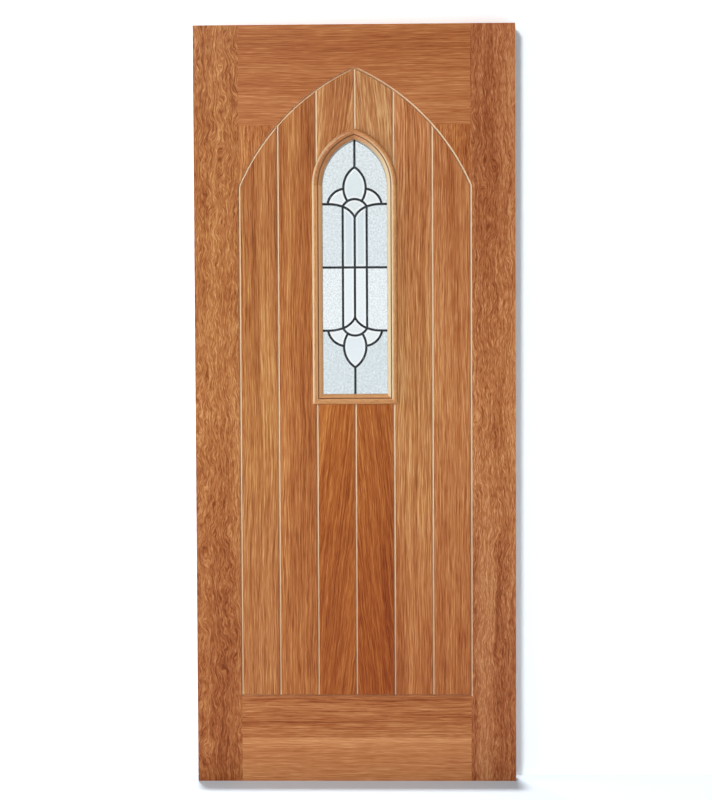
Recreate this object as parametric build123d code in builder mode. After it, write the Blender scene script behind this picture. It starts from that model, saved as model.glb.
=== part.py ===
from build123d import *
from math import acos, asin, atan2, cos, degrees, hypot, radians, sin, sqrt
import os

os.makedirs("parts", exist_ok=True)

# An arched timber door leaf, in millimetres. Z is up, the outside face looks along -Y, and the
# origin is the middle of the bottom edge. "Depth" is the distance in front of the leaf's middle.

# The leaf and its frame members
leaf_width = 838.0
leaf_height = 1981.0
leaf_thickness = 44.0
stile_width = 117.3
top_rail_depth = 260.0
bottom_rail_height = 227.0
bottom_rail_joint = 115.0
tenon_length = 55.0
tenon_thickness = 14.0
tenon_shoulder = 24.0
joint_clearance = 0.2

# The pointed panel of boards
springing_below_top = 418.0
arch_reach = 548.6
arch_drop = 239.3
arch_tip_round = 27.0
board_count = 6
board_thickness = 12.0
board_fit = 0.2
groove_depth = 3.5
tongue_length = 3.5
tongue_thickness = 3.0
tongue_setback = 5.5
plough_depth = 12.0

# The pointed window, measured at the edge of the visible glass. The side strip is what is left
# of the two middle boards beside the opening.
side_strip = 7.6
window_radius = 127.4
window_springing_below_top = 417.0
window_upright = 544.0
window_tip_round = 4.0
aperture_margin = 8.4

# The raised moulding, from the visible glass outwards
moulding_width = 26.5
moulding_height = 8.0
moulding_fit = 0.3
moulding_lip = 4.5
slope_width = 9.6
slope_top = 3.8
slope_bulge = 0.7
quirk_width = 1.4
quirk_floor = 2.2
pin_diameter = 1.4
pin_bite = 9.0
pin_side_spacing = 260.0
pin_bottom_spacing = 110.0
pin_arch_angle = 35.0

# The sealed unit
pane_thickness = 4.0
cavity = 6.0
lead_glass_thickness = 4.0
tape_thickness = 1.0
unit_margin = 6.4
spacer_inset = 0.4
seal_width = 2.0
block_length = 30.0
block_spacing = 110.0

# The lead and the glass held in it, measured from the middle of the cross bar
lead_width = 4.5
lead_leaf_thickness = 0.6
lead_heart = 1.6
glass_fit = 0.2
bevel_width = 7.0
bevel_depth = 1.3
bevel_overrun = 1.0
upright_offset = 31.4
junction_rise = 159.0
valley_rise = 131.5
shoulder_rise = 165.5
shoulder_reach = 68.5
dome_rise = 178.5
drop_centre_rise = 208.1
drop_centre_offset = 34.8
drop_radius = 64.0
fan_centre_rise = 157.6
fan_centre_offset = 23.1
fan_radius = 48.3

# Places that follow from the sizes above
panel_half_width = leaf_width / 2 - stile_width
top_rail_base = leaf_height - top_rail_depth
springing = leaf_height - springing_below_top
window_springing = leaf_height - window_springing_below_top
window_base = window_springing - window_upright
core_thickness = leaf_thickness - 2 * board_thickness
board_width = 2 * panel_half_width / board_count
window_half_width = board_width - side_strip - aperture_margin
face_depth = leaf_thickness / 2
lead_depth = lead_glass_thickness / 2
pane_back_depth = lead_depth + cavity
pane_face_depth = pane_back_depth + pane_thickness
leg_depth = pane_face_depth + tape_thickness
spacer_margin = unit_margin - seal_width
outside_face = Plane.XZ.offset(face_depth)


def tip_of(half_width, centre_height, reach, radius, tip_round):
    """Height of the centre of the rounding at an arch's point, and the angle where it starts."""
    centre_offset = reach - half_width
    rise = sqrt((radius - tip_round) ** 2 - centre_offset**2)
    return centre_height + rise, degrees(atan2(rise, centre_offset))


def pointed_outline(half_width, base, arch_foot, reach, drop, tip_round, grow):
    """Face with upright sides below two arcs that meet in a rounded point, grown all round."""
    radius = hypot(reach, drop)
    centre_offset = reach - half_width
    centre_height = arch_foot - drop
    tip_height, tip_angle = tip_of(half_width, centre_height, reach, radius, tip_round)
    foot_angle = degrees(acos(min(1.0, (reach + grow) / (radius + grow))))
    sweep_angle = tip_angle - foot_angle
    side = half_width + grow
    with BuildSketch() as outline:
        with BuildLine():
            right = CenterArc((-centre_offset, centre_height), radius + grow, foot_angle, sweep_angle)
            CenterArc((0, tip_height), tip_round + grow, tip_angle, 180 - 2 * tip_angle)
            left = CenterArc(
                (centre_offset, centre_height), radius + grow, 180 - tip_angle, sweep_angle
            )
            Polyline(left @ 1, (-side, base - grow), (side, base - grow), right @ 0)
        make_face()
    return outline.sketch


def panel_outline(grow=0.0):
    """Outline of the boarded panel, on the centre line of its V-groove."""
    return pointed_outline(
        panel_half_width, bottom_rail_height, springing, arch_reach, arch_drop, arch_tip_round, grow
    )


def window_outline(grow=0.0):
    """Outline of the visible glass."""
    return pointed_outline(
        window_half_width, window_base, window_springing, window_radius, 0.0, window_tip_round, grow
    )


def region(left, right, base, top, mode=Mode.ADD):
    """Rectangle between two places across the leaf and two heights."""
    with Locations(((left + right) / 2, (base + top) / 2)):
        Rectangle(right - left, top - base, mode=mode)


# What the frame members lose to the panel: the boards, the core's edge and both V-grooves
with BuildPart() as panel_room:
    with BuildSketch(outside_face):
        add(panel_outline())
    extrude(amount=-leaf_thickness)
    with BuildSketch(Plane.XZ.offset(core_thickness / 2 + joint_clearance)):
        add(panel_outline(plough_depth + joint_clearance))
    extrude(amount=-core_thickness - 2 * joint_clearance)
    for face_side in (-1, 1):
        groove_mouth = Plane.XZ.offset(face_side * face_depth) * panel_outline(groove_depth)
        groove_floor = Plane.XZ.offset(face_side * (face_depth - groove_depth)) * panel_outline()
        loft([groove_mouth.face(), groove_floor.face()])


def rail(base, top, tenon_top):
    """Cross rail of full thickness between two heights, with a stub tenon at both ends."""
    with BuildPart() as piece:
        with BuildSketch(outside_face):
            region(-panel_half_width, panel_half_width, base, top)
        extrude(amount=-leaf_thickness)
        add(panel_room.part, mode=Mode.SUBTRACT)
        with BuildSketch(Plane.XZ.offset(tenon_thickness / 2)):
            for side in (-1, 1):
                edge = side * panel_half_width
                end = edge + side * tenon_length
                tenon_left = min(edge, end)
                tenon_right = max(edge, end)
                region(tenon_left, tenon_right, base + tenon_shoulder, tenon_top - tenon_shoulder)
        extrude(amount=-tenon_thickness)
    return piece


plough_base = bottom_rail_height - plough_depth
tenon_ranges = (
    (0.0, bottom_rail_joint),
    (bottom_rail_joint, plough_base),
    (top_rail_base, leaf_height),
)

# Stiles, with a mortise for each tenon
with BuildPart() as left_stile:
    with BuildSketch(outside_face):
        region(-leaf_width / 2, -panel_half_width, 0, leaf_height)
    extrude(amount=-leaf_thickness)
    add(panel_room.part, mode=Mode.SUBTRACT)
    with BuildSketch(Plane.XZ.offset(tenon_thickness / 2 + joint_clearance)):
        for tenon_base, tenon_top in tenon_ranges:
            region(
                -panel_half_width - tenon_length - joint_clearance,
                -panel_half_width,
                tenon_base + tenon_shoulder - joint_clearance,
                tenon_top - tenon_shoulder + joint_clearance,
            )
    extrude(amount=-tenon_thickness - 2 * joint_clearance, mode=Mode.SUBTRACT)

with BuildPart() as right_stile:
    mirror(left_stile.part, about=Plane.YZ)

# Rails: the bottom one is two boards glued edge to edge
top_rail = rail(top_rail_base, leaf_height, leaf_height)
bottom_rail_lower = rail(0, bottom_rail_joint, bottom_rail_joint)
bottom_rail_upper = rail(bottom_rail_joint, bottom_rail_height, plough_base)

# Upright-grained pieces that fill the corners between stile, top rail and arch
with BuildPart() as left_spandrel:
    with BuildSketch(outside_face):
        region(-panel_half_width, 0, springing, top_rail_base)
    extrude(amount=-leaf_thickness)
    add(panel_room.part, mode=Mode.SUBTRACT)

with BuildPart() as right_spandrel:
    mirror(left_spandrel.part, about=Plane.YZ)

# The plain core between the two faces of boards
with BuildPart() as core_panel:
    with BuildSketch(Plane.XZ.offset(core_thickness / 2)):
        add(panel_outline(plough_depth))
        add(window_outline(aperture_margin), mode=Mode.SUBTRACT)
    extrude(amount=-core_thickness)


def board(number):
    """One upright board of the outside face, tongued into the next and cut for the window."""
    left = -panel_half_width + (number - 1) * board_width
    right = left + board_width
    tongue_depth = face_depth - tongue_setback
    with BuildPart() as piece:
        with BuildSketch(outside_face):
            add(panel_outline(-board_fit))
            region(left, right, 0, leaf_height, mode=Mode.INTERSECT)
        extrude(amount=-board_thickness)
        chamfer(piece.faces().sort_by(Axis.Y)[0].edges(), groove_depth)
        if number < board_count:
            with BuildSketch(Plane.XZ.offset(tongue_depth)):
                add(panel_outline(-board_fit))
                region(right, right + tongue_length, 0, leaf_height, mode=Mode.INTERSECT)
            extrude(amount=-tongue_thickness)
        if number > 1:
            with BuildSketch(Plane.XZ.offset(tongue_depth + joint_clearance)):
                region(left, left + tongue_length + joint_clearance, 0, leaf_height)
            extrude(amount=-tongue_thickness - 2 * joint_clearance, mode=Mode.SUBTRACT)
        with BuildSketch(outside_face):
            add(window_outline(aperture_margin))
        extrude(amount=-leaf_thickness, mode=Mode.SUBTRACT)
    return piece


# The raised moulding round the window, in five lengths
def moulding_section(place):
    """Section of the moulding: across it outwards from the glass, and up from the boards."""
    leg = leg_depth - face_depth
    quirk_inner = slope_width
    quirk_outer = slope_width + quirk_width
    crown_middle = (quirk_outer + moulding_width) / 2
    with BuildSketch(place) as section:
        with BuildLine():
            Polyline(
                (quirk_inner, slope_top),
                (quirk_inner + quirk_width / 2, quirk_floor),
                (quirk_outer, quirk_floor),
            )
            ThreePointArc(
                (quirk_outer, quirk_floor), (crown_middle, moulding_height), (moulding_width, 0)
            )
            Polyline(
                (moulding_width, 0),
                (aperture_margin - moulding_fit, 0),
                (aperture_margin - moulding_fit, leg),
                (0, leg),
                (0, -moulding_lip),
            )
            slope_start = Vector(0, -moulding_lip)
            slope_end = Vector(quirk_inner, slope_top)
            outward = (slope_end - slope_start).rotate(Axis.Z, 90).normalized()
            middle = (slope_start + slope_end) / 2 + outward * slope_bulge
            ThreePointArc(slope_start, middle, slope_end)
        make_face()
    return section.sketch


window_centre_offset = window_radius - window_half_width
window_tip_height, window_tip_angle = tip_of(
    window_half_width, window_springing, window_radius, window_radius, window_tip_round
)
mitre_point = (-window_half_width, 0, window_base)
left_mitre = Plane(origin=mitre_point, z_dir=(-1, 0, 1))
right_mitre = Plane(origin=(window_half_width, 0, window_base), z_dir=(1, 0, 1))
side_foot = (-window_half_width, -face_depth, window_base - moulding_width)

with BuildPart() as front_moulding_left:
    side_section = moulding_section(Plane(origin=side_foot, x_dir=(-1, 0, 0), z_dir=(0, 0, 1)))
    extrude(side_section, amount=window_upright + moulding_width)
    split(bisect_by=left_mitre, keep=Keep.TOP)

with BuildPart() as front_moulding_right:
    mirror(front_moulding_left.part, about=Plane.YZ)

with BuildPart() as front_moulding_bottom:
    outer_corner = (window_half_width + moulding_width, -face_depth, window_base)
    base_section = moulding_section(Plane(origin=outer_corner, x_dir=(0, 0, -1), z_dir=(-1, 0, 0)))
    extrude(base_section, amount=2 * (window_half_width + moulding_width))
    split(bisect_by=left_mitre, keep=Keep.BOTTOM)
    split(bisect_by=right_mitre, keep=Keep.BOTTOM)

with BuildPart() as front_moulding_arch_left:
    foot = (-window_half_width, -face_depth, window_springing)
    revolve(
        moulding_section(Plane(origin=foot, x_dir=(-1, 0, 0), z_dir=(0, 0, 1))),
        axis=Axis((window_centre_offset, 0, window_springing), (0, 1, 0)),
        revolution_arc=window_tip_angle,
    )
    tip_sine = sin(radians(window_tip_angle))
    tip_cosine = cos(radians(window_tip_angle))
    shoulder = (
        -window_tip_round * tip_cosine,
        -face_depth,
        window_tip_height + window_tip_round * tip_sine,
    )
    outward = (-tip_cosine, 0, tip_sine)
    along = (tip_sine, 0, tip_cosine)
    revolve(
        moulding_section(Plane(origin=shoulder, x_dir=outward, z_dir=along)),
        axis=Axis((0, 0, window_tip_height), (0, 1, 0)),
        revolution_arc=90 - window_tip_angle,
    )

with BuildPart() as front_moulding_arch_right:
    mirror(front_moulding_arch_left.part, about=Plane.YZ)

# Pins through the inside beads, in the bottom of the quirk
pin_line = slope_width + 3 * quirk_width / 4
pin_radius_out = window_radius + pin_line
pin_places = []
for pin_side in (-1, 1):
    for pin_step in (-0.5, 0.5):
        pin_places.append(
            (
                pin_side * (window_half_width + pin_line),
                window_springing - window_upright / 2 + pin_step * pin_side_spacing,
            )
        )
    pin_places.append((pin_side * pin_bottom_spacing / 2, window_base - pin_line))
    pin_places.append(
        (
            pin_side * (pin_radius_out * cos(radians(pin_arch_angle)) - window_centre_offset),
            window_springing + pin_radius_out * sin(radians(pin_arch_angle)),
        )
    )

with BuildPart() as bead_pins:
    with BuildSketch(Plane.XZ.offset(-face_depth - quirk_floor)):
        with Locations(*pin_places):
            Circle(pin_diameter / 2)
    extrude(amount=pin_bite + quirk_floor)


def inside_copy(outside_piece, pinned):
    """The same piece on the inside face, drilled where the bead pins pass through it."""
    with BuildPart() as piece:
        mirror(outside_piece.part, about=Plane.XZ)
        if pinned:
            add(bead_pins.part, mode=Mode.SUBTRACT)
    return piece


# The sealed unit: two outer panes, two spacer bars, the edge seal and the tapes
def glazing_ring(depth, thickness, outer_margin, inner_margin):
    """Flat ring that follows the window, from a depth inwards."""
    with BuildPart() as ring:
        with BuildSketch(Plane.XZ.offset(depth)):
            add(window_outline(outer_margin))
            add(window_outline(inner_margin), mode=Mode.SUBTRACT)
        extrude(amount=-thickness)
    return ring


with BuildPart() as outer_pane:
    with BuildSketch(Plane.XZ.offset(pane_face_depth)):
        add(window_outline(unit_margin))
    extrude(amount=-pane_thickness)

spacer_front = glazing_ring(pane_back_depth, cavity, spacer_margin, spacer_inset)
unit_seal = glazing_ring(pane_back_depth, 2 * pane_back_depth, unit_margin, spacer_margin)
glazing_tape_front = glazing_ring(leg_depth, tape_thickness, unit_margin, spacer_inset)

with BuildPart() as inner_pane:
    mirror(outer_pane.part, about=Plane.XZ)

with BuildPart() as spacer_back:
    mirror(spacer_front.part, about=Plane.XZ)

with BuildPart() as glazing_tape_back:
    mirror(glazing_tape_front.part, about=Plane.XZ)

with BuildPart() as setting_blocks:
    with BuildSketch(Plane.XZ.offset(pane_face_depth)):
        for block_side in (-1, 1):
            block_middle = block_side * block_spacing / 2
            region(
                block_middle - block_length / 2,
                block_middle + block_length / 2,
                window_base - aperture_margin,
                window_base - unit_margin,
            )
    extrude(amount=-2 * pane_face_depth)

# The lead: every line is drawn in one quarter and repeated left, right, above and below the bar
def meeting_angle(centre, radius, other_centre, other_radius):
    """Direction from a circle's centre to its right-hand meeting with another circle."""
    across = other_centre[0] - centre[0]
    along = other_centre[1] - centre[1]
    gap = hypot(across, along)
    opening = acos((radius**2 + gap**2 - other_radius**2) / (2 * radius * gap))
    towards = atan2(along, across)
    return degrees(towards - opening if across < 0 else towards + opening)


window_top = window_tip_height + window_tip_round
bar_height = (window_base + window_top) / 2
window_reach = window_half_width + unit_margin
shoulder_radius = (
    (shoulder_reach - upright_offset) ** 2 + (shoulder_rise - junction_rise) ** 2
) / (2 * (shoulder_rise - junction_rise))
shoulder_turn = degrees(asin((shoulder_reach - upright_offset) / shoulder_radius))
valley_run = hypot(upright_offset, junction_rise - valley_rise)
valley_slope = degrees(atan2(junction_rise - valley_rise, upright_offset))
valley_sweep = 2 * (valley_slope - shoulder_turn)
valley_radius = valley_run / (2 * sin(radians(valley_sweep / 2)))
valley_start = radians(90 + shoulder_turn)
valley_centre = (
    upright_offset - valley_radius * cos(valley_start),
    junction_rise - valley_radius * sin(valley_start),
)
dome_height = dome_rise - junction_rise
dome_radius = (upright_offset**2 + dome_height**2) / (2 * dome_height)
dome_turn = degrees(asin(upright_offset / dome_radius))
drop_tip_rise = drop_centre_rise + sqrt(drop_radius**2 - drop_centre_offset**2)
drop_tip_angle = degrees(asin((drop_tip_rise - drop_centre_rise) / drop_radius))
shoulder_centre = (shoulder_reach, shoulder_rise - shoulder_radius)
dome_centre = (0, dome_rise - dome_radius)
drop_centre = (-drop_centre_offset, drop_centre_rise)
fan_centre = (fan_centre_offset, fan_centre_rise)
drop_foot_angle = meeting_angle(drop_centre, drop_radius, dome_centre, dome_radius)
fan_foot_angle = degrees(asin((shoulder_rise - fan_centre_rise) / fan_radius))
fan_tip_angle = meeting_angle(fan_centre, fan_radius, drop_centre, drop_radius)


def lead_arc(side, centre, radius, start, turn, width):
    """Curved came: a band along an arc, on the right of the middle or mirrored to the left."""
    centre_point = (side * centre[0], centre[1])
    first = start if side > 0 else 180 - start
    with BuildSketch() as band:
        with BuildLine():
            outside = CenterArc(centre_point, radius + width / 2, first, side * turn)
            inside = CenterArc(centre_point, radius - width / 2, first, side * turn)
            Line(outside @ 0, inside @ 0)
            Line(outside @ 1, inside @ 1)
        make_face()
    return band.sketch


def lead_quarter(side, width):
    """The cames of the upper left or right quarter, with the bar's middle at the origin."""
    half = width / 2
    window_rise = window_top - bar_height + unit_margin
    drop_turn = drop_tip_angle - drop_foot_angle
    fan_turn = fan_tip_angle - fan_foot_angle
    upright = side * upright_offset
    level_ends = sorted((side * shoulder_reach, side * window_reach))
    with BuildSketch() as quarter:
        region(-window_reach, window_reach, -half, half)
        region(-half, half, 0, valley_rise)
        region(-half, half, drop_tip_rise, window_rise)
        region(upright - half, upright + half, 0, junction_rise)
        region(level_ends[0], level_ends[1], shoulder_rise - half, shoulder_rise + half)
        add(lead_arc(side, shoulder_centre, shoulder_radius, 90, shoulder_turn, width))
        add(lead_arc(side, valley_centre, valley_radius, 90 + shoulder_turn, valley_sweep, width))
        add(lead_arc(side, dome_centre, dome_radius, 90 - dome_turn, dome_turn, width))
        add(lead_arc(side, drop_centre, drop_radius, drop_foot_angle, drop_turn, width))
        add(lead_arc(side, fan_centre, fan_radius, fan_foot_angle, fan_turn, width))
    return quarter.sketch


def lead_drawing(width, margin):
    """All cames as one flat drawing, cut off a margin outside the visible glass."""
    with BuildSketch() as drawing:
        with Locations((0, bar_height)):
            for side in (-1, 1):
                upper = lead_quarter(side, width)
                add(upper)
                add(mirror(upper, about=Plane.XZ, mode=Mode.PRIVATE))
        add(window_outline(margin), mode=Mode.INTERSECT)
    return drawing.sketch


with BuildPart() as came_lattice:
    with BuildSketch(Plane.XZ.offset(lead_depth)):
        add(lead_drawing(lead_heart, spacer_margin - glass_fit))
    extrude(amount=-lead_glass_thickness)
    with BuildSketch(Plane.XZ.offset(lead_depth + lead_leaf_thickness)):
        add(lead_drawing(lead_width, 0.0))
    extrude(amount=-lead_leaf_thickness)
    with BuildSketch(Plane.XZ.offset(-lead_depth)):
        add(lead_drawing(lead_width, 0.0))
    extrude(amount=-lead_leaf_thickness)

# The glass between the cames, as one field cut along every heart
with BuildSketch(Plane.XZ.offset(lead_depth)) as glass_field:
    add(window_outline(spacer_margin - glass_fit))
    add(lead_drawing(lead_heart + 2 * glass_fit, unit_margin), mode=Mode.SUBTRACT)


def lead_glass(across, rise):
    """The piece of glass that lies at a place from the middle of the bar."""
    middle = Vector(across, -lead_depth, bar_height + rise)
    outline = glass_field.sketch.faces().sort_by_distance(middle)[0]
    with BuildPart() as piece:
        extrude(outline, amount=-lead_glass_thickness)
    return piece


def bevel_section(place, came, inwards):
    """What is ground off beside a came, with the glass on one side of it (1 outwards, -1 inwards)."""
    run_on = bevel_overrun * bevel_depth / bevel_width
    edge = came + inwards * (lead_heart / 2 + glass_fit)
    crest = edge + inwards * bevel_width
    with BuildSketch(place) as section:
        with BuildLine():
            Polyline(
                (crest + inwards * bevel_overrun, -lead_depth - run_on),
                (edge - inwards * bevel_overrun, -lead_depth - run_on),
                (edge - inwards * bevel_overrun, bevel_depth + run_on - lead_depth),
                close=True,
            )
        make_face()
    return section.sketch


def round_bevel(side, rise_sign, centre, radius, inwards, whole=True):
    """Cutter for the bevel along a curved came, whole or only its half away from the bar."""
    middle = (side * centre[0], 0, bar_height + rise_sign * centre[1])
    section = bevel_section(Plane(origin=middle, x_dir=(1, 0, 0), z_dir=(0, 0, 1)), radius, inwards)
    with BuildPart() as cutter:
        revolve(section, axis=Axis(middle, (0, 1, 0)), revolution_arc=360)
        if not whole:
            split(bisect_by=Plane(origin=middle, z_dir=(0, 0, rise_sign)), keep=Keep.TOP)
    return cutter.part


def upright_bevel(across, inwards):
    """Cutter for the bevel along an upright came."""
    foot = (0, 0, bar_height - window_upright)
    section = bevel_section(Plane(origin=foot, x_dir=(1, 0, 0), z_dir=(0, 0, 1)), across, inwards)
    with BuildPart() as cutter:
        extrude(section, amount=2 * window_upright)
    return cutter.part


def bar_bevel(rise_sign):
    """Cutter for the bevel along the cross bar, above or below it."""
    side_end = (window_reach, 0, bar_height)
    section = bevel_section(Plane(origin=side_end, x_dir=(0, 0, 1), z_dir=(-1, 0, 0)), 0, rise_sign)
    with BuildPart() as cutter:
        extrude(section, amount=2 * window_reach)
    return cutter.part


def bevelled(glass, cutters):
    """The piece of glass with its outside edges ground down along its cames."""
    with BuildPart() as piece:
        add(glass.part)
        for cutter in cutters:
            add(cutter, mode=Mode.SUBTRACT)
    return piece


glass_pieces = {}
for level, rise_sign in (("upper", 1), ("lower", -1)):
    dome_cuts = [round_bevel(1, rise_sign, dome_centre, dome_radius, -1)]
    drop_cuts = [round_bevel(1, rise_sign, dome_centre, dome_radius, 1)]
    for side in (-1, 1):
        dome_cuts.append(round_bevel(side, rise_sign, valley_centre, valley_radius, 1))
        drop_cuts.append(round_bevel(side, rise_sign, drop_centre, drop_radius, -1))
    dome_middle = (valley_rise + dome_rise) / 2
    dome = lead_glass(0, rise_sign * dome_middle)
    drop = lead_glass(0, rise_sign * drop_centre_rise)
    glass_pieces[f"{level}_dome_glass"] = bevelled(dome, dome_cuts)
    glass_pieces[f"{level}_drop_glass"] = bevelled(drop, drop_cuts)
    for hand, side in (("left", -1), ("right", 1)):
        strip_across = side * upright_offset / 2
        side_across = side * (upright_offset + window_half_width) / 2
        fan_across = side * (fan_centre_offset + fan_radius / 2)
        fan_rise = rise_sign * (fan_centre_rise + fan_radius / 2)
        ground_rise = rise_sign * drop_tip_rise
        half_rise = rise_sign * valley_rise / 2
        strip_cuts = (
            upright_bevel(0, side),
            upright_bevel(side * upright_offset, -side),
            bar_bevel(rise_sign),
            round_bevel(side, rise_sign, valley_centre, valley_radius, -1, whole=False),
        )
        fan_cuts = (
            round_bevel(side, rise_sign, fan_centre, fan_radius, -1),
            round_bevel(side, rise_sign, drop_centre, drop_radius, 1),
            round_bevel(side, rise_sign, shoulder_centre, shoulder_radius, 1),
            round_bevel(side, rise_sign, dome_centre, dome_radius, 1),
        )
        strip = lead_glass(strip_across, half_rise)
        fan = lead_glass(fan_across, fan_rise)
        name = f"{level}_{hand}"
        glass_pieces[f"{name}_strip_glass"] = bevelled(strip, strip_cuts)
        glass_pieces[f"{name}_side_glass"] = lead_glass(side_across, half_rise)
        glass_pieces[f"{name}_fan_glass"] = bevelled(fan, fan_cuts)
        glass_pieces[f"{name}_ground_glass"] = lead_glass(strip_across, ground_rise)

# Names and files
pieces = {
    "left_stile": left_stile,
    "right_stile": right_stile,
    "top_rail": top_rail,
    "bottom_rail_upper": bottom_rail_upper,
    "bottom_rail_lower": bottom_rail_lower,
    "left_spandrel": left_spandrel,
    "right_spandrel": right_spandrel,
    "core_panel": core_panel,
    "outer_pane": outer_pane,
    "inner_pane": inner_pane,
    "spacer_front": spacer_front,
    "spacer_back": spacer_back,
    "unit_seal": unit_seal,
    "glazing_tape_front": glazing_tape_front,
    "glazing_tape_back": glazing_tape_back,
    "setting_blocks": setting_blocks,
    "bead_pins": bead_pins,
    "came_lattice": came_lattice,
}
for number in range(1, board_count + 1):
    front_board = board(number)
    pieces[f"front_board_{number}"] = front_board
    pieces[f"back_board_{number}"] = inside_copy(front_board, pinned=True)
mouldings = {
    "left": front_moulding_left,
    "right": front_moulding_right,
    "bottom": front_moulding_bottom,
    "arch_left": front_moulding_arch_left,
    "arch_right": front_moulding_arch_right,
}
for place, moulding in mouldings.items():
    pieces[f"front_moulding_{place}"] = moulding
    pieces[f"back_bead_{place}"] = inside_copy(moulding, pinned=True)
pieces.update(glass_pieces)

for name, piece in pieces.items():
    piece.part.label = name
    export_step(piece.part, f"parts/{name}.step")
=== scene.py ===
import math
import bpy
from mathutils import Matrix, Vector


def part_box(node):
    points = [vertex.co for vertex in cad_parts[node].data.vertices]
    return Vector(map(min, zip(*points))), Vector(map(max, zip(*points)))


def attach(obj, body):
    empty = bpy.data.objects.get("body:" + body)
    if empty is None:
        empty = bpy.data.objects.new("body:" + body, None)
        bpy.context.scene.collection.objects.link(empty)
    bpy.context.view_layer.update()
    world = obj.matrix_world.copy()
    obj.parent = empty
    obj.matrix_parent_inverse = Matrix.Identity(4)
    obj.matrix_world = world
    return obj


bl_info = {
    "name": "Arched wooden door",
    "version": (1, 0, 0),
    "blender": (4, 5, 0),
    "location": "3D View > Sidebar > Door",
    "description": "Timber, glass and lead finishes, and the stage, of an arched door with a leaded window",
    "category": "Object",
}

import bmesh
import bpy
from bpy.props import FloatProperty, FloatVectorProperty, PointerProperty
from mathutils import Matrix, Vector

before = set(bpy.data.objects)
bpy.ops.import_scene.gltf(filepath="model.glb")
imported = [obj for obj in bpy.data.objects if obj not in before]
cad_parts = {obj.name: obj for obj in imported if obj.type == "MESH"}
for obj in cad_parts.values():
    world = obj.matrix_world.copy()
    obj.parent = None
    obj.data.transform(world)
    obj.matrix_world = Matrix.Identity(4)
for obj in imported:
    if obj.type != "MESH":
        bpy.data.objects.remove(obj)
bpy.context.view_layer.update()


def linear(colour):
    """A colour given in steps of 0 to 255, as the shader's own numbers."""
    parts = []
    for step in colour:
        part = step / 255
        parts.append(part / 12.92 if part <= 0.04045 else ((part + 0.055) / 1.055) ** 2.4)
    return (*parts, 1.0)


def scaled(colour, factor):
    """A shader colour, lighter or darker."""
    return (*(part * factor for part in colour[:3]), 1.0)


def even(colour):
    """The same colour at the foot, in the middle and at the head of a piece."""
    return (colour, colour, colour)


# Each timber piece's mean colours at its foot, middle and head, its grain's turn in degrees,
# how far the grain wanders, how long its flecks are and how strong they are
OAK_PIECES = {
    "left_stile": (((158, 90, 47), (170, 105, 58), (168, 104, 56)), 0, 1.35, 2.4, 0.9),
    "right_stile": (((164, 96, 55), (182, 115, 68), (161, 94, 54)), 0, 1.25, 2.4, 0.9),
    "top_rail": (((173, 105, 60), (169, 101, 56), (165, 97, 52)), 90, 0.35, 12.0, 0.6),
    "bottom_rail_upper": (even((169, 100, 55)), 90, 0.3, 9.0, 0.75),
    "bottom_rail_lower": (even((193, 126, 77)), 90, 0.25, 12.0, 0.35),
    "left_spandrel": (even((178, 111, 61)), 0, 0.6, 3.5, 0.8),
    "right_spandrel": (even((166, 96, 50)), 0, 0.6, 3.5, 0.8),
    "board_1": (((179, 114, 65), (181, 119, 67), (167, 101, 54)), 0, 0.5, 11.0, 0.9),
    "board_2": (((175, 106, 56), (179, 111, 61), (167, 101, 53)), 0, 0.5, 10.0, 0.75),
    "board_3": (((161, 86, 36), (172, 98, 45), (178, 116, 68)), -6, 0.6, 8.0, 0.7),
    "board_4": (((152, 75, 27), (170, 97, 46), (178, 120, 73)), 6, 0.6, 8.0, 0.78),
    "board_5": (((168, 96, 50), (189, 129, 77), (185, 119, 72)), 0, 0.5, 11.0, 0.85),
    "board_6": (((169, 98, 52), (180, 113, 65), (169, 101, 57)), 0, 0.5, 10.0, 0.85),
}
# The same for each moulding and for the bead behind it
MOULDING_PIECES = {
    "left": (even((192, 132, 80)), 0, 0.2, 3.0, 0.35),
    "right": (even((198, 137, 84)), 0, 0.2, 3.0, 0.35),
    "bottom": (even((194, 134, 80)), 90, 0.2, 3.0, 0.35),
    "arch_left": (even((180, 116, 66)), 37, 0.2, 3.0, 0.35),
    "arch_right": (even((190, 128, 78)), -37, 0.2, 3.0, 0.35),
}
CORE_LOOK = (((196, 164, 120), (198, 166, 122), (196, 164, 120)), 90, 0.4, 3.0, 0.5)

# Where in the noise the grain of each group of pieces starts, and the metres to each next one
FIRST_OAK_SEED = 1
BACK_BOARD_SEEDS = 20
FIRST_MOULDING_SEED = 41
BEAD_SEEDS = 10
CORE_SEED = 77
OAK_SEED_STEP = (0.37, 0.19, 0.73)

# Noise of the grain, in waves to a metre across the grain, through the piece and along the grain
DRIFT_WAVES = (7, 7, 2.5)
WAVER_WAVES = (24, 24, 14)
BAND_WAVES = (24, 24, 0.7)
# The same for the finer marks, which each piece's own length stretches along the grain
LINE_WAVES = (250, 250, 22)
FLECK_WAVES = (480, 480, 110)
FIBRE_WAVES = (1000, 1000, 260)
PORE_WAVES = (850, 850, 200)
FINE_ROUGHNESS = 0.6
# How far the grain moves sideways, in metres for the whole of the noise
DRIFT = 0.05
WAVER = 0.022
# The tone between dark and light grain, and how much each kind of mark moves it
MIDDLE_TONE = 0.52
BAND_STRENGTH = 0.3
BAND_STRENGTH_BY_STREAKS = 0.8
MOULDING_BAND_STRENGTH = 0.35
LINE_STRENGTH = 1.1
FLECK_STRENGTH = 2.3
FIBRE_STRENGTH = 1.3
PORE_STRENGTH = 0.2
PORE_LIMITS = (0.59, 0.68)
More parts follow.
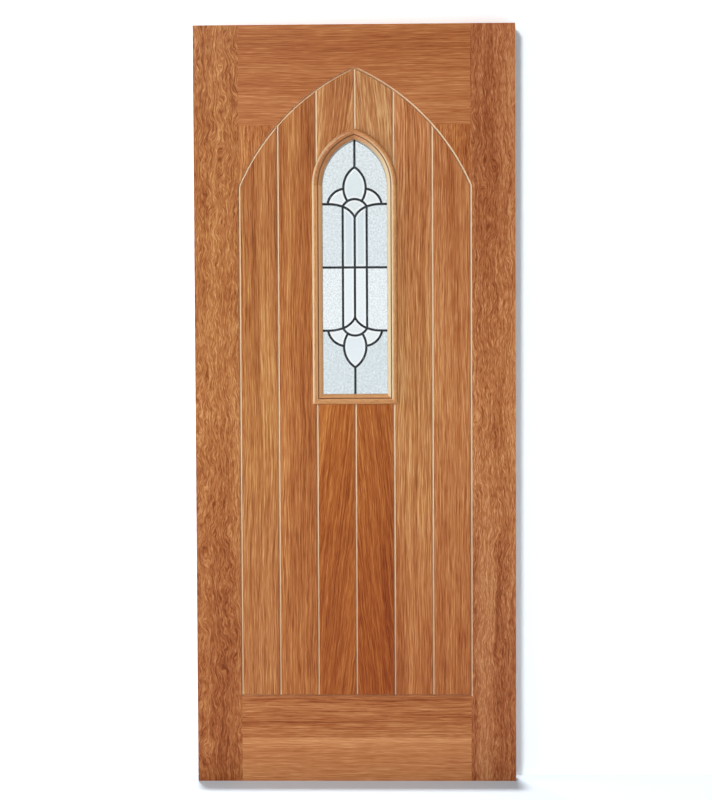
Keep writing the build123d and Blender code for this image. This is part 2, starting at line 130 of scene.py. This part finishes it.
# What each tone of the grain multiplies a piece's mean colour by, and the most that it does
GAIN_STOPS = (
    (0.0, (0.50, 0.36, 0.28)),
    (0.16, (0.68, 0.53, 0.43)),
    (0.33, (0.86, 0.75, 0.67)),
    (0.5, (1.0, 0.97, 0.95)),
    (0.67, (1.14, 1.25, 1.32)),
    (0.84, (1.33, 1.68, 1.96)),
    (1.0, (1.5, 2.1, 2.6)),
)
BRIGHTEST = 2.6

# The varnish: its roughness, and its relief and the strength and height of that in metres
VARNISH_ROUGHNESS = 0.42
ROUGHNESS_BY_TONE = 0.12
ROUGHNESS_BY_FIBRES = 0.25
RELIEF_BY_TONE = 0.6
RELIEF_BY_FIBRES = 0.8
RELIEF_BY_PORES = 1.2
OAK_BUMP = (0.3, 0.0003)
COAT_ROUGHNESS = 0.22
# Specular level and weight of the coat
BOARD_GLOSS = (0.1, 0.08)
MOULDING_GLOSS = (0.22, 0.3)

# The V-grooves: how far their faces turn from the front, and how strongly the left-facing ones get a pale
# painted highlight
GROOVE_HIGHLIGHT_COLOUR = linear((226, 200, 164))
GROOVE_TURN = (0.2, 0.5, 0.85, 0.95)
GROOVE_HIGHLIGHT_FACING = (0.1, 0.6, 0.15, 0.9)
# Their painted highlight is stronger from this height to this, from the first factor to the second
GROOVE_HIGHLIGHT_HEIGHTS = (0.2, 0.9, 0.6, 1.0)

# The mouldings' faces to the left, which get a cream painted highlight
MOULDING_HIGHLIGHT_COLOUR = linear((190, 174, 138))
MOULDING_HIGHLIGHT_FACING = (0.18, 0.6, 0.0, 0.8)
# Their faces to the right and up get painted fill light that lightens their shade, and how much on each
# length
PAINTED_FILL_COLOUR = linear((236, 176, 122))
PAINTED_FILL_TURN = (0.15, 0.5)
PAINTED_FILL_UPWARDS = 0.8
PAINTED_FILL_SIDES = {"left": 0.85, "right": 0.0, "bottom": 0.5, "arch_left": 0.35, "arch_right": 0.0}
# The pointed window, and where the quirk of its moulding lies beyond the visible glass
WINDOW_RADIUS = 0.1274
QUIRK_INNER = 0.0094
QUIRK_OUTER = 0.0118
QUIRK_BLUR = 0.0006
# Painted shade: the dark line along the quirk, where shade falls in its recess
QUIRK_SHADE_COLOUR = linear((112, 58, 24))
QUIRK_SHADE_STRENGTH = 0.8

GLASS_TINTS = {
    "upper_ground": (226, 233, 236),
    "upper_side": (226, 234, 238),
    "upper_strip": (222, 232, 237),
    "upper_fan": (234, 240, 242),
    "upper_dome": (230, 237, 239),
    "upper_drop": (226, 236, 239),
    "lower_ground": (221, 230, 234),
    "lower_side": (238, 244, 247),
    "lower_strip": (240, 247, 251),
    "lower_fan": (238, 243, 244),
    "lower_dome": (238, 243, 244),
    "lower_drop": (234, 242, 247),
}
TEXTURED_PLACES = ("ground", "side")
PANE_COLOUR = (253, 254, 254)
# Waves of the glass to a metre, their height in metres, how much the tint varies, and roughness
CLEAR_GLASS = (3.0, 0.00002, 0.002, 0.0)
TEXTURED_GLASS = (190.0, 0.0005, 0.1, 0.1)
BEVELLED_GLASS = (4.0, 0.00002, 0.01, 0.0)
GLASS_SEED_STEP = (0.4, 0.2, 0)
GLASS_MOTTLE_LIMITS = (0.36, 0.64)
# Faces of the bevels, turned this far from the front, get a white painted highlight
GLASS_BEVEL_HIGHLIGHT_TURN = (0.5, 0.8, 0.992, 0.999)
GLASS_BUMP_STRENGTH = 0.6
GLASS_IOR = 1.3

# Patches to a metre, metal, roughness and relief in metres of each plain finish
LEAD_LOOK = (90.0, 0.8, 0.45, 0.0001)
CEMENT_LOOK = (200.0, 0.0, 0.8, 0.0001)
# The lead's colour times this is the dark and the light of its patches, and of the cement's
LEAD_SHADES = (0.45, 0.8)
CEMENT_SHADES = (0.3, 0.5)
# Dark and light of each plain finish inside and round the unit, its look and the nodes it is on
UNIT_FINISHES = {
    "spacer_bar": (
        ((176, 178, 180), (205, 206, 208)),
        (60.0, 0.9, 0.35, 0.00005),
        ("spacer_front", "spacer_back"),
    ),
    "edge_sealant": (
        ((30, 31, 33), (48, 49, 52)),
        (120.0, 0.0, 0.6, 0.0002),
        ("unit_seal",),
    ),
    "glazing_tape": (
        ((70, 66, 60), (92, 88, 80)),
        (200.0, 0.0, 0.8, 0.0002),
        ("glazing_tape_front", "glazing_tape_back"),
    ),
    "setting_block": (
        ((28, 28, 30), (44, 44, 46)),
        (150.0, 0.0, 0.55, 0.0001),
        ("setting_blocks",),
    ),
    "pin_steel": (
        ((120, 118, 114), (160, 158, 152)),
        (300.0, 0.9, 0.4, 0.00003),
        ("bead_pins",),
    ),
}
PATCH_LIMITS = (0.3, 0.7)
GRIT_TO_PATCHES = 9
PATCH_RELIEF = 0.6
GRIT_RELIEF = 0.4
GRIT_ROUGHNESS = 0.3
DULL_BUMP_STRENGTH = 0.5

# The cement beside the lead: its foot on the glass, its top and its width, from the middle
CEMENT_FOOT = 0.00203
CEMENT_TOP = 0.00245
CEMENT_WIDTH = 0.0008
# Corners of the lead nearer than this are one, and faces less square to the front are its sides
LEAD_MERGE = 0.00002
LEAD_SIDE_TURN = 0.5

# The stage, in metres and degrees
FLOOR_COLOUR = (0.59, 0.65, 0.71, 1.0)
FLOOR_HALF_WIDTH = 6.0
BACKDROP_COLOUR = (1.2, 1.27, 1.29, 1.0)
BACKDROP_HALF_WIDTH = 5.0
BACKDROP_HALF_HEIGHT = 2.5
WHITE = (1.0, 1.0, 1.0, 1.0)
SKY_COLOUR = linear((250, 251, 255))
MIRRORED_SKY = 0.2
LAMP_TARGET = (0, 0, 1.0)
# Place of each soft lamp, and its width and height
KEY_LAMP = ((-1.95, -5.78, 4.5), (1.2, 1.2))
SIDE_LAMP = ((-4.9, -1.05, 1.2), (1.8, 4.4))
BACK_LAMP = ((-2.6, 5.2, 3.6), (1.6, 1.6))
TOP_LAMP_PLACE = (0, 0, 8.0)
TOP_LAMP_DIRECTION = (0.018, -0.085, -1.981)
TOP_LAMP_ANGLE = 1.4
CAMERA_PLACE = (0.0742, -3.94284, 1.12814)
CAMERA_TURNS = (88.1975, 0.2629, 1.0502)
SENSOR_WIDTH = 36.0


class Value:
    """One number, colour or vector on its way through the nodes of a finish."""

    def __init__(self, finish, socket):
        self.finish = finish
        self.socket = socket

    def other(self, output):
        """Another output of the same node."""
        return Value(self.finish, self.socket.node.outputs[output])

    def sums(self, operation, first, second):
        """A Math node on two values."""
        return self.finish.sums(operation, first, second)

    def __add__(self, other):
        return self.sums("ADD", self, other)

    def __radd__(self, other):
        return self.sums("ADD", other, self)

    def __sub__(self, other):
        return self.sums("SUBTRACT", self, other)

    def __rsub__(self, other):
        return self.sums("SUBTRACT", other, self)

    def __mul__(self, other):
        return self.sums("MULTIPLY", self, other)

    def __rmul__(self, other):
        return self.sums("MULTIPLY", other, self)

    def __pow__(self, other):
        return self.sums("POWER", self, other)


class Finish:
    """The nodes of one material or of the world."""

    def __init__(self, name, tree=None):
        self.material = None
        if tree is None:
            self.material = bpy.data.materials.new(name)
            self.material.use_nodes = True
            tree = self.material.node_tree
        self.tree = tree
        self.tree.nodes.clear()

    def node(self, kind, settings=None, sockets=None, output=0):
        """One node with its settings, then its sockets, as the value of one output."""
        made = self.tree.nodes.new(kind)
        for name, setting in (settings or {}).items():
            if name == "stops":
                self.stops(made.color_ramp, setting)
            else:
                setattr(made, name, setting)
        for name, value in (sockets or {}).items():
            if isinstance(value, Value):
                self.tree.links.new(value.socket, made.inputs[name])
            else:
                made.inputs[name].default_value = value
        return Value(self, made.outputs[output]) if made.outputs else None

    def stops(self, ramp, stops):
        """The places and colours of a ramp."""
        while len(ramp.elements) < len(stops):
            ramp.elements.new(1.0)
        for element, (place, colour) in zip(ramp.elements, stops):
            element.position = place
            element.color = colour

    def sums(self, operation, first, second=0.0):
        """A Math node on one or two values."""
        return self.node("ShaderNodeMath", {"operation": operation}, {0: first, 1: second})

    def place(self):
        """A point's place in the object's own frame."""
        return self.node("ShaderNodeTexCoord", output="Object")

    def parts(self, vector):
        """The three parts of a vector: sideways, in depth and upwards."""
        sideways = self.node("ShaderNodeSeparateXYZ", None, {0: vector})
        return sideways, sideways.other(1), sideways.other(2)

    def turn(self):
        """How far a face turns sideways, how squarely it faces front or back, and its rise."""
        sideways, facing, upwards = self.parts(
            self.node("ShaderNodeNewGeometry", output="True Normal")
        )
        return sideways, self.sums("ABSOLUTE", facing), upwards

    def noise(self, place, scale, detail, roughness=0.5):
        """Noise with as many waves to a metre as its scale."""
        return self.node(
            "ShaderNodeTexNoise",
            None,
            {"Vector": place, "Scale": scale, "Detail": detail, "Roughness": roughness},
        )

    def grain_noise(self, grain, waves, detail=2.0, roughness=0.5):
        """Noise that is finer across the grain than along it."""
        stretched = {at: part * wave for at, (part, wave) in enumerate(zip(grain, waves))}
        vector = self.node("ShaderNodeCombineXYZ", None, stretched)
        return self.noise(vector, 1.0, detail, roughness)

    def smooth(self, value, low, high, start=0.0, end=1.0):
        """A value that turns smoothly from start to end between two limits."""
        return self.node(
            "ShaderNodeMapRange",
            {"interpolation_type": "SMOOTHSTEP"},
            {"Value": value, "From Min": low, "From Max": high, "To Min": start, "To Max": end},
        )

    def between(self, value, start, full, fade, end):
        """One where a value lies between full and fade, and nothing outside start and end."""
        return self.smooth(value, start, full) * self.smooth(value, end, fade)

    def blend(self, factor, first, second, kind="MIX"):
        """Two colours mixed by a factor."""
        return self.node(
            "ShaderNodeMix",
            {"data_type": "RGBA", "blend_type": kind, "clamp_factor": True},
            {0: factor, 6: first, 7: second},
            2,
        )

    def ramp(self, value, stops):
        """The colour at a value between the stops of a ramp."""
        return self.node("ShaderNodeValToRGB", {"stops": stops}, {0: value})

    def bump(self, strength, distance, height):
        """The normal of a surface with fine relief."""
        return self.node(
            "ShaderNodeBump", None, {"Strength": strength, "Distance": distance, "Height": height}
        )

    def ray(self, kind):
        """One for rays of a kind, such as the camera's own."""
        return self.node("ShaderNodeLightPath", output=f"Is {kind} Ray")

    def mixed(self, factor, first, second):
        """Two shaders mixed by a factor."""
        return self.node("ShaderNodeMixShader", None, {0: factor, 1: first, 2: second})

    def surface(self, shader):
        """The material, which shows this shader."""
        self.node("ShaderNodeOutputMaterial", None, {"Surface": shader})
        return self.material

    def plain_surface(self, sockets):
        """The material, whose one shader has these sockets."""
        return self.surface(self.node("ShaderNodeBsdfPrincipled", None, sockets))


def glass_reach(finish, place, mould):
    """How far a point of a moulding lies beyond the edge of the visible glass."""
    across, _, height = finish.parts(place)
    half_width = -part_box("front_moulding_left")[1].x
    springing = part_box("front_moulding_arch_left")[0].z
    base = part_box("front_moulding_bottom")[1].z
    if mould == "left":
        return 0 - across - half_width
    if mould == "right":
        return across - half_width
    if mould == "bottom":
        return base - height
    centre = WINDOW_RADIUS - half_width
    aside = across - (centre if mould == "arch_left" else -centre)
    above = height - springing
    return (aside * aside + above * above) ** 0.5 - WINDOW_RADIUS


def oak_marks(finish, place, seed, look, mould):
    """The tone of the grain, its fibres and its pores."""
    _, turn, wander, length, streaks = look
    turned = finish.node(
        "ShaderNodeMapping",
        None,
        {
            "Vector": place,
            "Rotation": (0, math.radians(turn), 0),
            "Location": tuple(step * seed for step in OAK_SEED_STEP),
        },
    )
    across, depth, run = finish.parts(turned)
    drift = finish.grain_noise((across, depth, run), DRIFT_WAVES, 1.0) - 0.5
    waver = finish.grain_noise((across, depth, run), WAVER_WAVES) - 0.5
    wavy = across + drift * (DRIFT * wander) + waver * (WAVER * wander * wander)

    def marks(waves, stretch, detail=2.0, roughness=0.5):
        """Noise along the wavy grain, drawn out by a stretch."""
        drawn_out = (waves[0], waves[1], waves[2] / stretch)
        return finish.grain_noise((wavy, depth, run), drawn_out, detail, roughness)

    bands = marks(BAND_WAVES, 1) - 0.5
    lines = marks(LINE_WAVES, length, 1.0) - 0.5
    flecks = marks(FLECK_WAVES, length, roughness=FINE_ROUGHNESS) - 0.5
    fibres = marks(FIBRE_WAVES, length, roughness=FINE_ROUGHNESS) - 0.5
    pores = finish.smooth(marks(PORE_WAVES, length, 1.0), *PORE_LIMITS)
    band_strength = BAND_STRENGTH + BAND_STRENGTH_BY_STREAKS * streaks
    if mould:
        band_strength = MOULDING_BAND_STRENGTH
    tone = MIDDLE_TONE + bands * band_strength + lines * (LINE_STRENGTH * streaks)
    tone = tone + flecks * (FLECK_STRENGTH * streaks) + fibres * FIBRE_STRENGTH
    return tone - pores * (PORE_STRENGTH * streaks), fibres, pores


def moulding_painted_light(finish, colour, place, mould):
    """A moulding's colour with a painted highlight on its faces to the left, painted fill light on its
    faces to the right and up, and painted shade along its quirk.
    """
    sideways, _, upwards = finish.turn()
    # Painted highlight: faces to the left are turned cream
    colour = finish.blend(finish.smooth(0 - sideways, *MOULDING_HIGHLIGHT_FACING), colour, MOULDING_HIGHLIGHT_COLOUR)
    # Painted fill light: faces to the right and up are lightened, by a different amount on each length
    turned_away = sideways + upwards * PAINTED_FILL_UPWARDS
    soft = finish.smooth(turned_away, *PAINTED_FILL_TURN, 0.0, PAINTED_FILL_SIDES[mould])
    colour = finish.blend(soft, colour, PAINTED_FILL_COLOUR)
    # Painted shade: a dark line along the quirk
    inner = (QUIRK_INNER - QUIRK_BLUR, QUIRK_INNER + QUIRK_BLUR)
    outer = (QUIRK_OUTER - QUIRK_BLUR, QUIRK_OUTER + QUIRK_BLUR)
    quirk = finish.between(glass_reach(finish, place, mould), *inner, *outer)
    return finish.blend(quirk * QUIRK_SHADE_STRENGTH, colour, QUIRK_SHADE_COLOUR)


def groove_painted_highlight(finish, colour, height):
    """A board's or rail's colour with a pale painted highlight on the left-facing faces of its V-grooves,
    weaker towards the foot.
    """
    sideways, facing, _ = finish.turn()
    # Painted highlight on faces turned to the left, weaker lower down
    lit = finish.smooth(0 - sideways, *GROOVE_HIGHLIGHT_FACING) * finish.smooth(height, *GROOVE_HIGHLIGHT_HEIGHTS)
    return finish.blend(finish.between(facing, *GROOVE_TURN) * lit, colour, GROOVE_HIGHLIGHT_COLOUR)


def oak(name, seed, look, heights, mould=None):
    """Stained and varnished oak, with its grain along one direction all through the piece."""
    finish = Finish(name)
    place = finish.place()
    _, _, height = finish.parts(place)
    tone, fibres, pores = oak_marks(finish, place, seed, look, mould)
    gains = [(at, (*(part / BRIGHTEST for part in gain), 1.0)) for at, gain in GAIN_STOPS]
    means = [
        (at, scaled(linear(colour), BRIGHTEST)) for at, colour in zip((0, 0.5, 1), look[0])
    ]
    mean = finish.ramp(finish.smooth(height, *heights), means)
    colour = finish.blend(1.0, mean, finish.ramp(tone, gains), "MULTIPLY")
    if mould:
        # Painted highlight, painted fill light and painted quirk shade of the mouldings
        colour = moulding_painted_light(finish, colour, place, mould)
        specular, coat = MOULDING_GLOSS
    else:
        colour = groove_painted_highlight(finish, colour, height)
        specular, coat = BOARD_GLOSS
    roughness = VARNISH_ROUGHNESS - (tone - 0.5) * ROUGHNESS_BY_TONE
    relief = tone * RELIEF_BY_TONE + fibres * RELIEF_BY_FIBRES - pores * RELIEF_BY_PORES
    return finish.plain_surface(
        {
            "Base Color": colour,
            "Roughness": roughness + fibres * ROUGHNESS_BY_FIBRES,
            "Normal": finish.bump(*OAK_BUMP, relief),
            "Specular IOR Level": specular,
            "Coat Weight": coat,
            "Coat Roughness": COAT_ROUGHNESS,
        }
    )


def glass(name, shown, seed, look):
    """Clear, textured or bevelled glass, with a white painted highlight on the faces of its bevels."""
    waves, relief, mottle, roughness = look
    finish = Finish(name)
    moved = finish.node(
        "ShaderNodeMapping",
        None,
        {"Vector": finish.place(), "Location": tuple(step * seed for step in GLASS_SEED_STEP)},
    )
    grain = finish.noise(moved, waves, 3.0, FINE_ROUGHNESS)
    tint = linear(shown)
    colour = finish.blend(
        finish.smooth(grain, *GLASS_MOTTLE_LIMITS),
        scaled(tint, 1.0 - mottle),
        scaled(tint, 1.0 + mottle),
    )
    _, facing, _ = finish.turn()
    return finish.plain_surface(
        {
            # Painted highlight: bevel faces mixed towards white
            "Base Color": finish.blend(finish.between(facing, *GLASS_BEVEL_HIGHLIGHT_TURN), colour, WHITE),
            "Roughness": roughness,
            "Normal": finish.bump(GLASS_BUMP_STRENGTH, relief, grain),
            "IOR": GLASS_IOR,
            "Transmission Weight": 1.0,
        }
    )


def dull(name, dark, light, look):
    """A plain finish with mottled colour and sheen: lead, bar, sealant, tape or block."""
    patches, metal, roughness, relief = look
    finish = Finish(name)
    place = finish.place()
    patch = finish.noise(place, patches, 4.0, FINE_ROUGHNESS)
    grit = finish.noise(place, patches * GRIT_TO_PATCHES, 2.0)
    height = patch * PATCH_RELIEF + grit * GRIT_RELIEF
    return finish.plain_surface(
        {
            "Base Color": finish.blend(finish.smooth(patch, *PATCH_LIMITS), dark, light),
            "Metallic": metal,
            "Roughness": roughness + (grit - 0.5) * GRIT_ROUGHNESS,
            "Normal": finish.bump(DULL_BUMP_STRENGTH, relief, height),
        }
    )


def dress(node, material):
    """Puts one finish on a node of the frame."""
    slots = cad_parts[node].data.materials
    slots.clear()
    slots.append(material)


class DoorFinishes(bpy.types.PropertyGroup):
    """Colours that a user would change."""

    lead_colour: FloatVectorProperty(
        name="Lead",
        description="Colour of the weathered lead",
        subtype="COLOR",
        size=4,
        default=linear((38, 47, 54)),
    )


class DoorStage(bpy.types.PropertyGroup):
    """Camera, lamps and backdrop."""

    lens: FloatProperty(
        name="Lens",
        description="Focal length of the camera, in millimetres",
        default=67.5,
        unit="CAMERA",
    )
    key_power: FloatProperty(
        name="Key lamp",
        description="Power of the lamp at the upper left",
        default=262.0,
        unit="POWER",
    )
    side_power: FloatProperty(
        name="Side lamp",
        description="Power of the tall lamp at the left",
        default=215.0,
        unit="POWER",
    )
    top_strength: FloatProperty(
        name="Top lamp", description="Strength of the distant lamp overhead", default=3.4
    )
    back_power: FloatProperty(
        name="Back lamp",
        description="Power of the lamp behind the door",
        default=130.0,
        unit="POWER",
    )
    sky: FloatProperty(
        name="Sky", description="Strength of the even light from all round", default=0.1
    )
    wall_gap: FloatProperty(
        name="Backdrop",
        description="Distance of the backdrop behind the middle of the leaf",
        default=0.0315,
        subtype="DISTANCE",
        unit="LENGTH",
    )


class OBJECT_OT_door_oak(bpy.types.Operator):
    """Finish the oak frame and boards"""

    bl_idname = "object.door_oak"
    bl_label = "Oak frame and boards"

    def execute(self, context):
        for number, (name, look) in enumerate(OAK_PIECES.items(), FIRST_OAK_SEED):
            sides = ("front_", "back_") if name.startswith("board") else ("",)
            for side_number, side in enumerate(sides):
                node = side + name
                low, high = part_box(node)
                seed = number + BACK_BOARD_SEEDS * side_number
                dress(node, oak("oak_" + node, seed, look, (low.z, high.z)))
        return {"FINISHED"}


class OBJECT_OT_door_mouldings(bpy.types.Operator):
    """Finish the mouldings and beads round the window"""

    bl_idname = "object.door_mouldings"
    bl_label = "Mouldings and beads"

    def execute(self, context):
        for number, (place, look) in enumerate(MOULDING_PIECES.items(), FIRST_MOULDING_SEED):
            for side_number, node in enumerate((f"front_moulding_{place}", f"back_bead_{place}")):
                low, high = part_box(node)
                seed = number + BEAD_SEEDS * side_number
                dress(node, oak("oak_" + node, seed, look, (low.z, high.z), place))
        return {"FINISHED"}


class OBJECT_OT_door_glass(bpy.types.Operator):
    """Finish the panes and the leaded glass"""

    bl_idname = "object.door_glass"
    bl_label = "Panes and leaded glass"

    def execute(self, context):
        clear = glass("clear_pane", PANE_COLOUR, 1, CLEAR_GLASS)
        for node in ("outer_pane", "inner_pane"):
            dress(node, clear)
        for number, (kind, shown) in enumerate(GLASS_TINTS.items(), 2):
            level, place = kind.split("_")
            finish, look = "bevelled_", BEVELLED_GLASS
            if place in TEXTURED_PLACES:
                finish, look = "textured_", TEXTURED_GLASS
            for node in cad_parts:
                if node.startswith(level) and node.endswith(place + "_glass"):
                    dress(node, glass(finish + node, shown, number, look))
        return {"FINISHED"}


class OBJECT_OT_door_lead(bpy.types.Operator):
    """Finish the lead and lay the cement beside it"""

    bl_idname = "object.door_lead"
    bl_label = "Lead and cement"

    def execute(self, context):
        colour = tuple(context.scene.door_finishes.lead_colour)
        dark, light = (scaled(colour, shade) for shade in LEAD_SHADES)
        dress("came_lattice", dull("weathered_lead", dark, light, LEAD_LOOK))
        dark, light = (scaled(colour, shade) for shade in CEMENT_SHADES)
        cement = dull("lead_cement", dark, light, CEMENT_LOOK)
        self.cement("cement_front", -1, cement)
        self.cement("cement_back", 1, cement)
        return {"FINISHED"}

    def cement(self, name, side, finish):
        """Line of cement along both edges of the lead, on one face of the glass."""
        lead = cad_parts["came_lattice"]
        shape = bmesh.new()
        shape.from_mesh(lead.data)
        bmesh.ops.transform(shape, matrix=lead.matrix_world, verts=shape.verts)
        bmesh.ops.remove_doubles(shape, verts=shape.verts, dist=LEAD_MERGE)
        bmesh.ops.bisect_plane(
            shape,
            geom=shape.verts[:] + shape.edges[:] + shape.faces[:],
            plane_co=(0, side * CEMENT_FOOT, 0),
            plane_no=(0, -side, 0),
            clear_outer=True,
        )
        shape.normal_update()
        shifts = []
        for vertex in shape.verts:
            outwards = Vector()
            for face in vertex.link_faces:
                if abs(face.normal.y) < LEAD_SIDE_TURN:
                    outwards += face.normal
            outwards.y = 0
            if outwards.length > 0:
                shifts.append((vertex, outwards.normalized() * CEMENT_WIDTH))
        for vertex, shift in shifts:
            bmesh.ops.translate(shape, vec=shift, verts=[vertex])
        outer = [vertex for vertex in shape.verts if abs(vertex.co.y) > CEMENT_TOP]
        drop = min(abs(vertex.co.y) for vertex in outer) - CEMENT_TOP
        bmesh.ops.translate(shape, vec=(0, -side * drop, 0), verts=outer)
        mesh = bpy.data.meshes.new(name)
        shape.to_mesh(mesh)
        shape.free()
        piece = bpy.data.objects.new(name, mesh)
        bpy.context.scene.collection.objects.link(piece)
        piece.data.materials.append(finish)
        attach(piece, "root")


class OBJECT_OT_door_unit(bpy.types.Operator):
    """Finish the core and the pieces inside and round the sealed unit"""

    bl_idname = "object.door_unit"
    bl_label = "Core, unit and fixings"

    def execute(self, context):
        for name, (shades, look, nodes) in UNIT_FINISHES.items():
            dark, light = (linear(shade) for shade in shades)
            finish = dull(name, dark, light, look)
            for node in nodes:
                dress(node, finish)
        low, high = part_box("core_panel")
        dress("core_panel", oak("core_timber", CORE_SEED, CORE_LOOK, (low.z, high.z)))
        return {"FINISHED"}


class OBJECT_OT_door_stage(bpy.types.Operator):
    """Set up the floor, backdrop, lamps and camera"""

    bl_idname = "object.door_stage"
    bl_label = "Stage"

    def execute(self, context):
        settings = context.scene.door_stage
        self.floor()
        self.wall(settings.wall_gap)
        self.lamp("key_lamp", *KEY_LAMP, settings.key_power)
        self.lamp("side_lamp", *SIDE_LAMP, settings.side_power)
        self.distant_lamp("top_lamp", settings.top_strength)
        self.lamp("back_lamp", *BACK_LAMP, settings.back_power)
        self.sky(context.scene, settings.sky)
        self.camera(context.scene, settings.lens)
        return {"FINISHED"}

    def sheet(self, name, half_width, half_length, matrix):
        """A flat rectangle with its place in its mesh."""
        mesh = bpy.data.meshes.new(name)
        sheet = bmesh.new()
        bmesh.ops.create_grid(sheet, x_segments=1, y_segments=1, size=1.0)
        bmesh.ops.scale(sheet, vec=(half_width, half_length, 1.0), verts=sheet.verts)
        bmesh.ops.transform(sheet, matrix=matrix, verts=sheet.verts)
        sheet.to_mesh(mesh)
        sheet.free()
        piece = bpy.data.objects.new(name, mesh)
        bpy.context.scene.collection.objects.link(piece)
        return piece

    def floor(self):
        """Pale floor that keeps the door's shadow."""
        finish = Finish("pale_floor")
        lit = finish.node("ShaderNodeBsdfDiffuse", None, {"Color": FLOOR_COLOUR})
        piece = self.sheet("floor", FLOOR_HALF_WIDTH, FLOOR_HALF_WIDTH, Matrix.Identity(4))
        piece.data.materials.append(finish.surface(lit))

    def wall(self, gap):
        """Backdrop close behind the door, seen and shaded from the front only."""
        finish = Finish("pale_backdrop")
        back = finish.node("ShaderNodeNewGeometry", output="Backfacing")
        lit = finish.node("ShaderNodeBsdfDiffuse", None, {"Color": BACKDROP_COLOUR})
        glow = finish.node("ShaderNodeEmission", None, {"Color": WHITE, "Strength": 1.0})
        clear = finish.node("ShaderNodeBsdfTransparent")
        seen_in_door = finish.ray("Transmission") + finish.ray("Glossy")
        glowing = finish.mixed(seen_in_door, clear, glow)
        front = finish.mixed(finish.ray("Camera"), glowing, lit)
        both = finish.mixed(back, front, clear)
        upright = Matrix.Rotation(math.radians(90), 4, "X")
        matrix = Matrix.Translation((0, gap, BACKDROP_HALF_HEIGHT)) @ upright
        piece = self.sheet("backdrop", BACKDROP_HALF_WIDTH, BACKDROP_HALF_HEIGHT, matrix)
        piece.data.materials.append(finish.surface(both))

    def hang(self, name, data, place, direction):
        """Puts a lamp at its place, turned to a direction."""
        piece = bpy.data.objects.new(name, data)
        bpy.context.scene.collection.objects.link(piece)
        piece.location = place
        piece.rotation_euler = direction.to_track_quat("-Z", "Y").to_euler()

    def lamp(self, name, place, size, power):
        """Soft rectangular lamp that faces the door."""
        data = bpy.data.lights.new(name, "AREA")
        data.shape = "RECTANGLE"
        data.size, data.size_y = size
        data.energy = power
        self.hang(name, data, place, Vector(LAMP_TARGET) - Vector(place))

    def distant_lamp(self, name, strength):
        """Lamp with parallel rays, which gives the shadow at the door's foot."""
        data = bpy.data.lights.new(name, "SUN")
        data.angle = math.radians(TOP_LAMP_ANGLE)
        data.energy = strength
        self.hang(name, data, TOP_LAMP_PLACE, Vector(TOP_LAMP_DIRECTION))

    def sky(self, scene, strength):
        """Even light from all round, which shows as a pale background."""
        world = bpy.data.worlds.new("studio")
        world.use_nodes = True
        finish = Finish("studio", world.node_tree)
        light, shown, mirrored = (
            finish.node("ShaderNodeBackground", None, {"Color": colour, "Strength": level})
            for colour, level in ((SKY_COLOUR, strength), (WHITE, 1.0), (SKY_COLOUR, MIRRORED_SKY))
        )
        unseen = finish.mixed(finish.ray("Glossy"), light, mirrored)
        both = finish.mixed(finish.ray("Camera") + finish.ray("Transmission"), unseen, shown)
        finish.node("ShaderNodeOutputWorld", None, {"Surface": both})
        scene.world = world

    def camera(self, scene, lens):
        """Camera at the photograph's place and angle."""
        data = bpy.data.cameras.new("camera")
        data.lens = lens
        data.sensor_width = SENSOR_WIDTH
        piece = bpy.data.objects.new("camera", data)
        scene.collection.objects.link(piece)
        piece.location = CAMERA_PLACE
        piece.rotation_euler = tuple(math.radians(turn) for turn in CAMERA_TURNS)
        scene.camera = piece
        scene.view_settings.view_transform = "Standard"


class VIEW3D_PT_door(bpy.types.Panel):
    """Lists the door's finishing steps"""

    bl_idname = "VIEW3D_PT_door"
    bl_label = "Arched door"
    bl_space_type = "VIEW_3D"
    bl_region_type = "UI"
    bl_category = "Door"

    def draw(self, context):
        for group in (context.scene.door_finishes, context.scene.door_stage):
            for name in group.__annotations__:
                self.layout.prop(group, name)
        for step in STEPS:
            self.layout.operator(step.bl_idname)


STEPS = (
    OBJECT_OT_door_stage,
    OBJECT_OT_door_oak,
    OBJECT_OT_door_mouldings,
    OBJECT_OT_door_glass,
    OBJECT_OT_door_lead,
    OBJECT_OT_door_unit,
)
CLASSES = (DoorFinishes, DoorStage, *STEPS, VIEW3D_PT_door)


def register():
    for each in CLASSES:
        bpy.utils.register_class(each)
    bpy.types.Scene.door_finishes = PointerProperty(type=DoorFinishes)
    bpy.types.Scene.door_stage = PointerProperty(type=DoorStage)


def unregister():
    del bpy.types.Scene.door_stage
    del bpy.types.Scene.door_finishes
    for each in reversed(CLASSES):
        bpy.utils.unregister_class(each)


def main():
    register()
    bpy.ops.object.door_stage()
    bpy.ops.object.door_oak()
    bpy.ops.object.door_mouldings()
    bpy.ops.object.door_glass()
    bpy.ops.object.door_lead()
    bpy.ops.object.door_unit()


if __name__ == "__main__":
    main()
